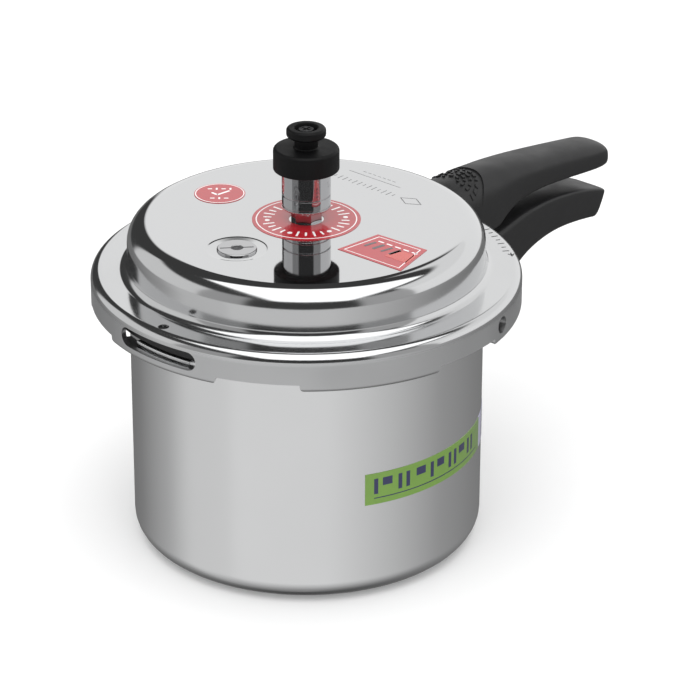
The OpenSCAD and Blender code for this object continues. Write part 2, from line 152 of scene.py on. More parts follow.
def plate(name, outline, bottom, thick):
    # a flat outline of (x, y) points, filled and given its thickness
    piece = drawOutline(name, [(x, y, bottom) for x, y in outline])
    bpy.ops.mesh.edge_face_add()
    pushOut((0, 0, thick * mm))
    tidyShell()
    return piece


def block(name, low, high):
    low, high = Vector(low) * mm, Vector(high) * mm
    deselectAll()
    bpy.ops.mesh.primitive_cube_add(size=1, location=(low + high) / 2)
    bpy.context.object.scale = high - low
    bpy.ops.object.transform_apply(location=True, rotation=True, scale=True)
    return nameIt(name)


def rod(name, radius, low, high, at=(0, 0), sides=64):
    return turned(name, [(0, low), (radius, low), (radius, high), (0, high)], at, sides)


def turnAbout(piece, degrees, axis="Z", centre=(0, 0, 0)):
    # turns a piece's mesh about a point
    openUp(piece)
    bpy.ops.transform.rotate(value=-math.radians(degrees), orient_axis=axis,
                             center_override=Vector(centre) * mm)
    bpy.ops.object.mode_set(mode="OBJECT")
    return piece


def shiftBy(piece, offset):
    piece.data.transform(Matrix.Translation(Vector(offset) * mm))
    return piece


def copyOf(piece, name):
    twin = piece.copy()
    twin.data = piece.data.copy()
    twin.name = name
    scene.collection.objects.link(twin)
    return twin


def joined(name, pieces):
    deselectAll()
    for piece in pieces:
        piece.select_set(True)
    bpy.context.view_layer.objects.active = pieces[0]
    bpy.ops.object.join()
    return nameIt(name)


def cut(piece, cutter, how="DIFFERENCE"):
    pick(piece)
    saw = piece.modifiers.new("cut", "BOOLEAN")
    saw.operation = how
    saw.solver = "EXACT"
    saw.object = cutter
    bpy.ops.object.modifier_apply(modifier="cut")
    bpy.data.objects.remove(cutter)
    return piece


def soften(piece, width, segments=2, above=35):
    pick(piece)
    edge = piece.modifiers.new("soften", "BEVEL")
    edge.width = width * mm
    edge.segments = segments
    edge.limit_method = "ANGLE"
    edge.angle_limit = math.radians(above)
    bpy.ops.object.modifier_apply(modifier="soften")
    return piece


def smooth(piece, angle=32):
    pick(piece)
    bpy.ops.object.shade_smooth_by_angle(angle=math.radians(angle))
    return piece


def evenShading(piece):
    # large flat faces keep their own shading next to narrow bevels
    pick(piece)
    weighting = piece.modifiers.new("evenShading", "WEIGHTED_NORMAL")
    weighting.keep_sharp = True
    bpy.ops.object.modifier_apply(modifier="evenShading")
    return piece


def finishPiece(piece, finishName, body, stoodFor=(), angle=32):
    smooth(piece, angle)
    evenShading(piece)
    piece.data.materials.clear()
    piece.data.materials.append(finishes[finishName])
    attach(piece, body)
    if stoodFor:
        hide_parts(*stoodFor)


# Finishes: each gives back a material
texture = {
    # noise as (scale, detail), gloss as shares of the roughness, bump as (strength, depth)
    "handling": (22, 4), "handlingGloss": (0.85, 1.2),
    "lidLines": (2600, 3), "lidLineDepth": 0.0006, "lineDetail": 3, "lineStrength": 0.5,
    "grain": (700, 3), "grainGloss": (0.75, 1.3), "grainBump": (0.3, 0.004),
    "cloud": (60, 3), "cloudGloss": (0.85, 1.2), "mould": (1500, 2), "mouldStrength": 0.35,
    "print": (180, 2), "filmCoat": 0.03,
}
# the heights between which the lid's gloss changes
lidBands = {"top": (170 * mm, 174.3 * mm), "skirt": (143 * mm, 145.5 * mm)}


def newFinish(name, colour, roughness, metallic=0.0):
    material = bpy.data.materials.new(name)
    material.use_nodes = True
    shader = material.node_tree.nodes["Principled BSDF"]
    shader.inputs["Base Color"].default_value = (*colour, 1)
    shader.inputs["Roughness"].default_value = roughness
    shader.inputs["Metallic"].default_value = metallic
    return material, material.node_tree.nodes, material.node_tree.links, shader


def noiseOf(nodes, links, source, scale, detail=2.0):
    noise = nodes.new("ShaderNodeTexNoise")
    noise.inputs["Scale"].default_value = scale
    noise.inputs["Detail"].default_value = detail
    links.new(source, noise.inputs["Vector"])
    return noise.outputs["Fac"]


def spread(nodes, links, source, low, high, fromLow=0.3, fromHigh=0.7):
    span = nodes.new("ShaderNodeMapRange")
    for socket, value in (("From Min", fromLow), ("From Max", fromHigh), ("To Min", low), ("To Max", high)):
        span.inputs[socket].default_value = value
    links.new(source, span.inputs["Value"])
    return span.outputs["Result"]


def mathNode(nodes, links, operation, *sources):
    node = nodes.new("ShaderNodeMath")
    node.operation = operation
    for place, source in enumerate(sources):
        if isinstance(source, (int, float)):
            node.inputs[place].default_value = source
        else:
            links.new(source, node.inputs[place])
    return node.outputs[0]


def bumpFrom(nodes, links, shader, source, strength, depth):
    bump = nodes.new("ShaderNodeBump")
    bump.inputs["Strength"].default_value = strength
    bump.inputs["Distance"].default_value = depth * mm
    links.new(source, bump.inputs["Height"])
    links.new(bump.outputs["Normal"], shader.inputs["Normal"])


def objectPlace(nodes):
    return nodes.new("ShaderNodeTexCoord").outputs["Object"]


def roundPlace(nodes, links):
    # (distance from the axis, 0, height), so that a pattern runs round the piece
    split = nodes.new("ShaderNodeSeparateXYZ")
    links.new(objectPlace(nodes), split.inputs[0])
    flat = nodes.new("ShaderNodeCombineXYZ")
    links.new(split.outputs["X"], flat.inputs["X"])
    links.new(split.outputs["Y"], flat.inputs["Y"])
    reach = nodes.new("ShaderNodeVectorMath")
    reach.operation = "LENGTH"
    links.new(flat.outputs[0], reach.inputs[0])
    ringed = nodes.new("ShaderNodeCombineXYZ")
    links.new(reach.outputs["Value"], ringed.inputs["X"])
    links.new(split.outputs["Z"], ringed.inputs["Z"])
    return ringed.outputs[0]


def spunMetal(name, colour, roughness, smudge, lineScale, lineDepth):
    # turned metal: fine lines round the axis and faint handling marks in the gloss
    material, nodes, links, shader = newFinish(name, colour, roughness, 1.0)
    marks = noiseOf(nodes, links, objectPlace(nodes), *texture["handling"])
    rough = spread(nodes, links, marks, roughness - smudge, roughness + smudge)
    links.new(rough, shader.inputs["Roughness"])
    lines = noiseOf(nodes, links, roundPlace(nodes, links), lineScale, texture["lineDetail"])
    bumpFrom(nodes, links, shader, lines, texture["lineStrength"], lineDepth)
    return material


def polishedMetal(name, colour, skirtRough, sideRough, topRough):
    # the lid: mirror bright on its flat top, softer on the drum and satin down its skirt
    material, nodes, links, shader = newFinish(name, colour, sideRough, 1.0)
    split = nodes.new("ShaderNodeSeparateXYZ")
    links.new(objectPlace(nodes), split.inputs[0])
    height = split.outputs["Z"]
    upper = spread(nodes, links, height, sideRough, topRough, *lidBands["top"])
    skirt = spread(nodes, links, height, skirtRough - sideRough, 0, *lidBands["skirt"])
    byHeight = mathNode(nodes, links, "ADD", upper, skirt)
    handling = noiseOf(nodes, links, objectPlace(nodes), *texture["handling"])
    marks = spread(nodes, links, handling, *texture["handlingGloss"])
    links.new(mathNode(nodes, links, "MULTIPLY", byHeight, marks), shader.inputs["Roughness"])
    lines = noiseOf(nodes, links, roundPlace(nodes, links), *texture["lidLines"])
    bumpFrom(nodes, links, shader, lines, texture["lineStrength"], texture["lidLineDepth"])
    return material


def glossFrom(nodes, links, shader, source, roughness, shares):
    # a noise that varies the roughness between two shares of it
    low, high = shares
    links.new(spread(nodes, links, source, roughness * low, roughness * high), shader.inputs["Roughness"])


def plainMetal(name, colour, roughness):
    # stamped or cast metal with a fine grain
    material, nodes, links, shader = newFinish(name, colour, roughness, 1.0)
    grain = noiseOf(nodes, links, objectPlace(nodes), *texture["grain"])
    glossFrom(nodes, links, shader, grain, roughness, texture["grainGloss"])
    bumpFrom(nodes, links, shader, grain, *texture["grainBump"])
    return material


def moulded(name, colour, roughness, grainDepth, gloss=0.5):
    # moulded plastic or rubber: a soft sheen broken by the mould's texture
    material, nodes, links, shader = newFinish(name, colour, roughness)
    shader.inputs["Specular IOR Level"].default_value = gloss
    place = objectPlace(nodes)
    cloud = noiseOf(nodes, links, place, *texture["cloud"])
    glossFrom(nodes, links, shader, cloud, roughness, texture["cloudGloss"])
    mould = noiseOf(nodes, links, place, *texture["mould"])
    bumpFrom(nodes, links, shader, mould, texture["mouldStrength"], grainDepth)
    return material


def printedFilm(name, colour, roughness=0.35, variation=0.12):
    # a printed label under a glossy clear film
    material, nodes, links, shader = newFinish(name, colour, roughness)
    shader.inputs["Coat Weight"].default_value = 1.0
    shader.inputs["Coat Roughness"].default_value = texture["filmCoat"]
    mottle = nodes.new("ShaderNodeMix")
    mottle.data_type = "RGBA"
    mottle.inputs["A"].default_value = (*colour, 1)
    mottle.inputs["B"].default_value = (*[part * (1 - variation) for part in colour], 1)
    links.new(noiseOf(nodes, links, objectPlace(nodes), *texture["print"]), mottle.inputs["Factor"])
    links.new(mottle.outputs["Result"], shader.inputs["Base Color"])
    return material


recipes = {
    # the function that makes it, its colour, its roughness and the rest that the function asks for
    "mirrorLid": (polishedMetal, (0.665, 0.67, 0.675), 0.40, 0.13, 0.045),
    "satinPot": (spunMetal, (0.88, 0.885, 0.89), 0.20, 0.03, 2200, 0.004),
    "turnedSteel": (spunMetal, (0.52, 0.52, 0.53), 0.06, 0.02, 3000, 0.0006),
    "groundSteel": (plainMetal, (0.56, 0.57, 0.59), 0.28),
    # near-black steel for the weight screw: painted shade, for the shade in the knob's dish
    "paintedShadeSteel": (plainMetal, (0.035, 0.035, 0.038), 0.42),
    "rivetMetal": (plainMetal, (0.80, 0.81, 0.82), 0.3),
    "brass": (plainMetal, (0.78, 0.58, 0.28), 0.25),
    "fusibleAlloy": (plainMetal, (0.20, 0.20, 0.21), 0.5),
    "bakelite": (moulded, (0.010, 0.010, 0.0105), 0.40, 0.02, 0.42),
    "capPlastic": (moulded, (0.003, 0.003, 0.0033), 0.5, 0.02, 0.2),
    "rubber": (moulded, (0.018, 0.018, 0.019), 0.62, 0.03),
    "redFilm": (printedFilm, (0.40, 0.008, 0.017)),
    "whitePrint": (printedFilm, (0.86, 0.84, 0.84), 0.35, 0.04),
    "orangePrint": (printedFilm, (0.52, 0.045, 0.03)),
    "inkPrint": (printedFilm, (0.012, 0.015, 0.075)),
    "greyInk": (printedFilm, (0.035, 0.035, 0.04)),
    "greenFilm": (printedFilm, (0.14, 0.275, 0.033)),
    "paleFilm": (printedFilm, (0.56, 0.55, 0.74)),
    "etched": (plainMetal, (0.46, 0.46, 0.47), 0.55),
    # dark grey metal for the ledge stamp: painted shade of its grooves
    "stampGrooveShade": (plainMetal, (0.16, 0.16, 0.165), 0.6),
}
finishes = {name: make(name, *values) for name, (make, *values) in recipes.items()}
print("finishes mixed")


def boxOf(node):
    low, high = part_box(node)
    return low / mm, high / mm


potHigh = boxOf("pot_body")[1]
lidLow, lidHigh = boxOf("lid_shell")
sectorCount = 6


# Pot
pot = {
    "radius": 92, "wall": 3.2, "floor": 4.5, "cornerRadius": 12,
    "footRadius": 72, "footRecess": 0.6, "rimThick": 4.2, "rimRadius": 100, "lugDegrees": 20,
}


def makePot():
    inside = pot["radius"] - pot["wall"]
    rimUnder = potHigh.z - pot["rimThick"]
    outline = rounded([
        (0, pot["footRecess"], 0), (pot["footRadius"] - 2, pot["footRecess"], 1.2),
        (pot["footRadius"], 0, 0.6), (pot["radius"], 0, pot["cornerRadius"]),
        (pot["radius"], rimUnder, 3), (pot["rimRadius"], rimUnder, 0),
        (pot["rimRadius"], potHigh.z, 0), (inside, potHigh.z, 1.5),
        (inside, pot["floor"], pot["cornerRadius"] - pot["wall"]), (0, pot["floor"], 0),
    ], segments=8, closed=False)
    piece = turned("potBody", outline)
    halfLug = pot["lugDegrees"] / 2
    pitch = 360 / sectorCount

    def onLug(centre, normal):
        around = math.degrees(math.atan2(centre.y, centre.x))
        fromLug = abs((around + pitch / 2) % pitch - pitch / 2)
        outside = math.hypot(centre.x, centre.y) > pot["rimRadius"] - 0.5
        return outside and abs(normal.z) < 0.1 and fromLug < halfLug

    pick(piece)
    pickFaces(piece, onLug)
    pushOut((0, 0, 0))
    grow = potHigh.x / pot["rimRadius"]
    bpy.ops.transform.resize(value=(grow, grow, 1), center_override=(0, 0, 0))
    bpy.ops.object.mode_set(mode="OBJECT")
    soften(piece, 0.5)
    finishPiece(piece, "satinPot", "pot", ["pot_body"])


makePot()
print("pot turned")


def sideCutter(name, outline, inner, outer, degrees):
    # an outline of (across, up) points, pushed outwards along a radius
    piece = drawOutline(name, [(inner, across, height) for across, height in outline])
    bpy.ops.mesh.edge_face_add()
    pushOut(((outer - inner) * mm, 0, 0))
    tidyShell()
    return turnAbout(piece, degrees)


# Lid
lid = {
    "sheet": 3, "drumRadius": 92.5, "shoulder": 11, "fillet": 4.5, "edge": 4.6, "drumHeight": 25.2,
    "lip": 2.4, "lipRadius": 101.5, "skirtLift": 4.2, "gapDegrees": 22, "tabCorner": 3.2,
    "windowDegrees": 26.8, "windowHeight": 10, "windowLift": 0.3,
    "ventHole": 5.05, "sideHoleRadius": 4.5, "sideHoleLift": 9.1, "sideHoleDegrees": -75,
    "ledgeHoleRadius": 2.75, "ledgeHoleInset": 7.2,
    "dimpleAt": -51.5, "dimpleRadius": 15, "dimpleFloorRadius": 10.8, "dimpleDepth": 2.2, "bowlDepth": 0.4,
    "gapRound": 0.6, "bossRound": 1.5, "bowlFootRound": 2.4, "bowlRimRound": 3, "plugHole": 4.85,
}
ledgeTop = lidHigh.z - lid["drumHeight"]
skirtRadius = lidHigh.x


def makeLid():
    sheet = lid["sheet"]
    tabFoot = lidLow.z
    skirtFoot = tabFoot + lid["skirtLift"]
    skirtInside = skirtRadius - sheet
    drumInside = lid["drumRadius"] - sheet
    outline = rounded([
        (lid["ventHole"], lidHigh.z, 0), (lid["drumRadius"], lidHigh.z, lid["shoulder"]),
        (lid["drumRadius"], ledgeTop, lid["fillet"]), (skirtRadius, ledgeTop, lid["edge"]),
        (skirtRadius, tabFoot, lid["lip"]), (lid["lipRadius"], tabFoot, 0),
        (lid["lipRadius"], tabFoot + lid["lip"], 0), (skirtInside, tabFoot + lid["lip"], 0),
        (skirtInside, ledgeTop - sheet, lid["edge"] - sheet),
        (drumInside, ledgeTop - sheet, lid["fillet"] + sheet),
        (drumInside, lidHigh.z - sheet, lid["shoulder"] - sheet), (lid["ventHole"], lidHigh.z - sheet, 0),
    ], segments=10)
    piece = turned("lidShell", outline, steps=240)

    # the openings; each cutter reaches a few millimetres past what it cuts
    halfGap = skirtRadius * math.sin(math.radians(lid["gapDegrees"] / 2))
    below = tabFoot - 0.04
    corner = lid["gapRound"]
    gapOutline = rounded([
        (-halfGap - 6, below - 2, 0), (-halfGap - 6, below, 0), (-halfGap, below, lid["tabCorner"]),
        (-halfGap, skirtFoot, corner), (halfGap, skirtFoot, corner), (halfGap, below, lid["tabCorner"]),
        (halfGap + 6, below, 0), (halfGap + 6, below - 2, 0),
    ])
    for gap in range(sectorCount):
        middle = (gap + 0.5) * 360 / sectorCount
        cut(piece, sideCutter("gapCutter", gapOutline, lid["lipRadius"] - 8, skirtRadius + 8, middle))

    halfWindow = skirtRadius * math.sin(math.radians(lid["windowDegrees"] / 2))
    windowFoot = skirtFoot + lid["windowLift"]
    windowTop = windowFoot + lid["windowHeight"]
    endRound = lid["windowHeight"] / 2 - 0.01
    window = rounded([
        (-halfWindow, windowFoot, endRound), (halfWindow, windowFoot, endRound),
        (halfWindow, windowTop, endRound), (-halfWindow, windowTop, endRound),
    ], segments=10)
    cut(piece, sideCutter("windowCutter", window, skirtInside - 9, skirtRadius + 5, 180))

    hole = lid["sideHoleRadius"]
    holeHeight = tabFoot + lid["sideHoleLift"]
    edge = hole - 0.01
    sideHole = rounded([(-hole, holeHeight - hole, edge), (hole, holeHeight - hole, edge),
                        (hole, holeHeight + hole, edge), (-hole, holeHeight + hole, edge)], segments=8)
    cut(piece, sideCutter("holeCutter", sideHole, skirtInside - 5, skirtRadius + 5, lid["sideHoleDegrees"]))
    ledgeHole = (-(skirtRadius - lid["ledgeHoleInset"]), 0)
    cut(piece, rod("ledgeCutter", lid["ledgeHoleRadius"], ledgeTop - 6, ledgeTop + 3, ledgeHole, 48))

    # the pressed dimple that the safety plug sits in
    dimpleFloor = lidHigh.z - lid["dimpleDepth"]
    at = (lid["dimpleAt"], 0)
    bowlFloor = lidHigh.z - lid["bowlDepth"]
    bossFoot, bossRadius = dimpleFloor - sheet, lid["dimpleRadius"] - 1
    boss = rounded([(0, bossFoot, 0), (bossRadius, bossFoot, lid["bossRound"]),
                    (bossRadius, lidHigh.z - 1, 0), (0, lidHigh.z - 1, 0)], closed=False)
    cut(piece, turned("dimpleBoss", boss, at, 96), "UNION")
    outside = lid["dimpleRadius"] + 1.2
    bowl = rounded([(0, bowlFloor, 0), (lid["dimpleFloorRadius"], bowlFloor, lid["bowlFootRound"]),
                    (lid["dimpleRadius"] - 0.2, lidHigh.z - 0.15, lid["bowlRimRound"]),
                    (outside, lidHigh.z + 0.12, 0),
                    (outside, lidHigh.z + 3, 0), (0, lidHigh.z + 3, 0)], segments=8, closed=False)
    cut(piece, turned("dimpleBowl", bowl, at, 96))
    cut(piece, rod("plugCutter", lid["plugHole"], dimpleFloor - 6, dimpleFloor + 3, at, 48))
    soften(piece, 0.3)
    # the flat top keeps its own shading right up to the dimple and the shoulder
    pick(piece)
    pickFaces(piece, lambda centre, normal: normal.z > 0.9999 and centre.z > lidHigh.z - 0.05)
    bpy.ops.mesh.region_to_loop()
    bpy.ops.mesh.mark_sharp()
    bpy.ops.object.mode_set(mode="OBJECT")
    finishPiece(piece, "mirrorLid", "lid", ["lid_shell"])


makeLid()
print("lid spun and cut")


# Handles: half of the cross-section, as (across, up) shares of the half width and the height
lidHandle = {
    "section": [(0, 0), (0.84, 0), (1, 0.10), (1, 0.58), (0.92, 0.80), (0.60, 0.955), (0, 1)],
    # (along, low, high, half width) at each station
    "stations": [
        (88, 128.2, 162.4, 18), (112, 128.2, 163.7, 17.9), (128, 128.2, 163.6, 17.0),
        (137, 128.2, 163.2, 16.4), (141.5, 130.2, 162.9, 16.1), (147, 134.8, 162.4, 15.8),
        (155, 138.0, 161.5, 15.3), (165, 139.9, 160.4, 15.0), (180, 140.5, 158.5, 14.6),
        (204, 138.5, 155.2, 14.0), (222, 136.6, 152.5, 13.5), (231, 136.1, 151.3, 13.2),
        (236.5, 136.2, 149.8, 12.5), (239.8, 136.6, 147.2, 10.8), (241.3, 137.6, 144.2, 8.0),
    ],
    "panelAt": 112.2, "panelRadius": 19.3, "panelDepth": 0.8,
    "ribRings": [15.6, 12.2, 8.8, 5.4], "ribLong": 2.6, "ribShort": 0.45, "ribWide": 1.5, "ribGap": 1.3,
    "clear": 0.6, "drumClear": 2.6, "riseEnd": 128, "riseTall": 10, "headRoom": 12.2, "headRoomHalf": 16,
    "insertHole": 4,
}
potHandle = {
    "section": [(0, 0), (0.74, 0), (0.95, 0.10), (1, 0.40), (1, 0.93), (0.95, 1), (0, 1)],
    "stations": [
        (88, 75.6, 126.3, 18), (104, 76.0, 126.3, 17.9), (116, 77.0, 126.5, 17.5), (126, 79.7, 126.8, 17.0),
        (138, 86.0, 127.3, 16.3), (150, 94.6, 129.3, 15.6), (160, 101.6, 131.4, 15.2),
        (170, 106.4, 132.5, 14.9), (188, 110.3, 132.8, 14.4), (207, 109.6, 130.4, 14.0),
        (222, 107.6, 127.5, 13.6), (237, 105.2, 122.6, 13.1),
    ],
    "endHigh": (237.6, 122.6), "endLow": (229.6, 106.6), "endRound": 3.5,
    "endSteps": [(0.55, 0.97), (0.33, 0.90), (0.12, 0.82)],  # (share of the rounding, shrink)
    "clear": 4, "seat": (40, 160), "headRoom": 6.6, "headRoomHalf": 15, "headRoomTop": 150,
    "headHole": 4.5, "headTall": 2.8, "screwHole": 2.6,
}
# what the rooms cut under both handles share, and how far their cutters reach
handleCuts = {
    "tongueHalf": 9.2, "tongueThick": 2.7, "inner": 80, "outer": 130, "lidFoot": 120, "potFoot": 60,
    "seat": (100, 200),
}


def drawnOut(name, shape):
    # a cross-section pushed from station to station, scaled to each
    half = shape["section"]
    section = half + [(-across, up) for across, up in reversed(half[1:-1])]
    before = shape["stations"][0]
    start, low, high, width = before
    corners = [(start, across * width, low + up * (high - low)) for across, up in section]
    piece = drawOutline(name, corners + corners[:1])
    bpy.ops.mesh.edge_face_add()
    for station in shape["stations"][1:]:
        pushOut(((station[0] - before[0]) * mm, 0, (station[1] - before[1]) * mm))
        tall = (station[2] - station[1]) / (before[2] - before[1])
        foot = Vector((station[0], 0, station[1])) * mm
        bpy.ops.transform.resize(value=(1, station[3] / before[3], tall), center_override=foot)
        before = station
    bpy.ops.object.mode_set(mode="OBJECT")
    return piece


def roundedOff(piece, levels):
    pick(piece)
    skin = piece.modifiers.new("roundedOff", "SUBSURF")
    skin.levels = levels
    skin.render_levels = levels
    bpy.ops.object.modifier_apply(modifier="roundedOff")


def screwPockets(piece, screws, radius, foot, top):
    # round pockets under a handle, one at each screw
    low, high = boxOf(screws)
    middle = (low.y + high.y) / 2
    inset = (high.y - low.y) / 2
    for along in (low.x + inset, high.x - inset):
        cut(piece, rod("pocket", radius, foot, top, (along, middle), 48))


def makeLidHandle():
    piece = drawnOut("lidHandle", lidHandle)
    openUp(piece)
    tidyShell()
    roundedOff(piece, 3)

    # a sunk panel over the butt, with rings of short raised ribs left standing in it
    panelX = lidHandle["panelAt"]
    top = lidHigh.z
    panel = rod("panel", lidHandle["panelRadius"], ledgeTop, top, (panelX, 0), 96)
    wide = lidHandle["ribWide"]
    ribs = []
    for place, ring in enumerate(lidHandle["ribRings"]):
        count = int(math.pi * ring / (lidHandle["ribLong"] + lidHandle["ribGap"]))
        for rib in range(count):
            degrees = (rib + 0.5) / count * 180 - 90
            long = lidHandle["ribLong"] * (1 if (rib + place) % 3 else lidHandle["ribShort"])
            bar = block("rib", (panelX + ring - wide / 2, -long / 2, ledgeTop - 1),
                        (panelX + ring + wide / 2, long / 2, top + 1))
            ribs.append(turnAbout(bar, degrees, centre=(panelX, 0, 0)))
    cut(panel, joined("ribs", ribs))
    cut(panel, shiftBy(copyOf(piece, "lowered"), (0, 0, -lidHandle["panelDepth"])))
    cut(piece, panel)

    # room for the lid below and behind, the tongue, the rivet heads and the screws
    inner, outer = handleCuts["inner"], handleCuts["outer"]
    foot, half = handleCuts["lidFoot"], handleCuts["tongueHalf"]
    besideSkirt = skirtRadius + lidHandle["clear"]
    besideFillet = lid["drumRadius"] + lid["fillet"]
    besideDrum = lid["drumRadius"] + lidHandle["drumClear"]
    overLedge = ledgeTop + lidHandle["clear"]
    seatFoot, seatTop = handleCuts["seat"]
    seat = turned("seat", [
        (0, seatFoot), (besideSkirt, seatFoot), (besideSkirt, overLedge), (besideFillet, overLedge),
        (besideFillet, ledgeTop + 2), (besideDrum, ledgeTop + 3), (besideDrum, seatTop), (0, seatTop)])
    cut(piece, seat)
    bracketLow, bracketHigh = boxOf("lid_handle_bracket")
    tongueTop = bracketLow.z + handleCuts["tongueThick"]
    cut(piece, block("channel", (skirtRadius - 2, -half, foot), (bracketHigh.x + 1, half, tongueTop)))
    riseTop = ledgeTop + lidHandle["riseTall"]
    cut(piece, block("rise", (inner, -half, foot), (lidHandle["riseEnd"], half, riseTop)))
    headSide = boxOf("lid_bracket_rivets")[1].x + 1
    headTop = ledgeTop + lidHandle["headRoom"]
    headRoom = rounded([(0, ledgeTop - 2, 0), (headSide, ledgeTop - 2, 0), (headSide, headTop, 0),
                        (0, headTop, 0)], closed=False)
    pocket = turned("headRoom", headRoom)
    half = lidHandle["headRoomHalf"]
    width = block("pocketWidth", (inner, -half, ledgeTop - 4), (outer, half, ledgeTop + 20))
    cut(pocket, width, "INTERSECT")
    cut(piece, pocket)
    insertLow, insertHigh = boxOf("lid_handle_inserts")
    screwPockets(piece, "lid_handle_inserts", lidHandle["insertHole"], insertLow.z - 4, insertHigh.z)
    finishPiece(piece, "bakelite", "lid", ["lid_handle"], angle=40)


def makePotHandle():
    piece = drawnOut("potHandle", potHandle)
    # the slanted end: sliced off, then a smaller face pushed out to round it
    highX, highZ = potHandle["endHigh"]
    lowX, lowZ = potHandle["endLow"]
    slope = Vector((highZ - lowZ, 0, lowX - highX)).normalized()
    back = potHandle["endRound"]
    openUp(piece)
    through = Vector((highX, 0, highZ)) - slope * back
    bpy.ops.mesh.bisect(plane_co=through * mm, plane_no=slope, use_fill=True, clear_outer=True)
    middle = Vector(((highX + lowX) / 2, 0, (highZ + lowZ) / 2))
    for share, shrink in potHandle["endSteps"]:
        pushOut(slope * (share * back) * mm)
        bpy.ops.transform.resize(value=(shrink, shrink, shrink), center_override=middle * mm)
    tidyShell()
    roundedOff(piece, 3)

    # room for the pot, the tongue, the nuts, the rivet heads and the screws
    inner, outer = handleCuts["inner"], handleCuts["outer"]
    foot, half = handleCuts["potFoot"], handleCuts["tongueHalf"]
    bracketLow, bracketHigh = boxOf("pot_handle_bracket")
    nutLow, nutHigh = boxOf("pot_handle_nuts")
    screwLow, screwHigh = boxOf("pot_handle_screws")
    cut(piece, rod("seat", pot["radius"] + potHandle["clear"], *potHandle["seat"], sides=180))
    tongueFoot = nutLow.z - handleCuts["tongueThick"]
    cut(piece, block("slot", (inner, -half, tongueFoot), (bracketHigh.x + 1, half, nutLow.z + 0.2)))
    roomCorner = (nutHigh.x + 2, nutHigh.y + 1, nutHigh.z + 2)
    cut(piece, block("nutRoom", (inner, nutLow.y - 1, tongueFoot), roomCorner))
    headSide = pot["radius"] + potHandle["headRoom"]
    pocket = rod("headRoom", headSide, bracketLow.z - 2, bracketHigh.z + 0.3, sides=180)
    half = potHandle["headRoomHalf"]
    width = block("pocketWidth", (inner, -half, foot), (outer, half, potHandle["headRoomTop"]))
    cut(pocket, width, "INTERSECT")
    cut(piece, pocket)
    for radius, top in ((potHandle["headHole"], screwLow.z + potHandle["headTall"]),
                        (potHandle["screwHole"], screwHigh.z + 1)):
        screwPockets(piece, "pot_handle_screws", radius, foot, top)
    finishPiece(piece, "bakelite", "pot", ["pot_handle"], angle=40)


makeLidHandle()
print("lid handle drawn out")
makePotHandle()
print("pot handle drawn out")


# Gasket, safety plug, vent and weight
gasket = {"wall": 3, "lipEnd": 0.8, "corner": 1.2, "groove": 1}


def makeGasket():
    low, high = boxOf("gasket")
    inner = pot["radius"] - 1
    wall, lipEnd, corner = gasket["wall"], gasket["lipEnd"], gasket["corner"]
    outline = rounded([
        (inner, low.z, lipEnd), (high.x, low.z, corner), (high.x, high.z, corner), (inner, high.z, lipEnd),
        (inner, high.z - wall, lipEnd), (high.x - wall, high.z - wall, gasket["groove"]),
        (high.x - wall, low.z + wall, gasket["groove"]), (inner, low.z + wall, lipEnd)])
    piece = turned("gasketRing", outline)
    finishPiece(piece, "rubber", "lid", ["gasket"])


plug = {"flange": 2, "flangeRadius": 10.2, "edge": 0.6, "slotDegrees": -42, "slotLong": 17, "slotWide": 0.9,
        "slotDeep": 0.8, "alloyRadius": 3.0, "shankRadius": 4.8}


def makePlug():
    low, high = boxOf("safety_plug")
    at = (lid["dimpleAt"], 0)
    foot = high.z - plug["flange"]
    outline = rounded([
        (plug["alloyRadius"], low.z, 0.3), (plug["shankRadius"], low.z, 0.4), (plug["shankRadius"], foot, 0),
        (plug["flangeRadius"], foot, 0.2), (plug["flangeRadius"], high.z, plug["edge"]),
        (plug["alloyRadius"], high.z, 0.35)])
    piece = turned("safetyPlug", outline, at, 96)
    long, wide = plug["slotLong"] / 2, plug["slotWide"] / 2
    slotFoot = high.z - plug["slotDeep"]
    slot = block("slot", (at[0] - long, -wide, slotFoot), (at[0] + long, wide, high.z + 1))
    cut(piece, turnAbout(slot, plug["slotDegrees"], centre=(at[0], 0, 0)))
    finishPiece(piece, "turnedSteel", "lid", ["safety_plug"])


vent = {"across": 14, "hexTall": 8, "tubeRadius": 3.75, "bore": 1.6, "countersink": 1, "shankRadius": 5}


def makeVent():
    low, high = boxOf("vent_tube")
    foot = lidHigh.z
    outline = rounded([
        (vent["bore"], low.z, 0), (vent["shankRadius"], low.z, 0.5), (vent["shankRadius"], foot, 0),
        (vent["tubeRadius"], foot, 0), (vent["tubeRadius"], high.z, 0.5),
        (vent["bore"] + vent["countersink"], high.z, 0), (vent["bore"], high.z - vent["countersink"], 0)])
    piece = turned("ventTube", outline, steps=64)
    corner = vent["across"] / 2 / math.cos(math.radians(30))
    hexTop = foot + vent["hexTall"]
    hexagon = rod("ventHexagon", corner, foot, hexTop, sides=6)
    # chamfered corners at the top, as a turned blank has
    chamfer = turned("chamfer", [(0, foot - 1), (corner + 1, foot - 1), (corner + 1, hexTop - 1),
                                 (vent["across"] / 2 - 0.2, hexTop), (0, hexTop)], steps=64)
    cut(hexagon, chamfer, "INTERSECT")
    cut(hexagon, rod("clearance", vent["tubeRadius"] - 0.3, foot - 2, foot + 20, sides=64))
    soften(hexagon, 0.15, above=25)
    piece = joined("ventTube", [piece, hexagon])
    finishPiece(piece, "turnedSteel", "lid", ["vent_tube"])


weight = {
    "grooves": [1.8, 7.5], "grooveWide": 0.9, "grooveDeep": 0.55, "foot": 0.8, "wall": 3,
    "stepHeight": 17.2, "neck": 1.15,
    "capTall": 11.8, "capEdge": 1.8, "waistRadius": 6.1, "waistTop": 17.6,
    "knobRadius": 10.2, "knobEdge": 1.6,
    "dishRadius": 6.2, "dishDepth": 2.7, "screwHole": 2.2, "capGap": 0.05,
}


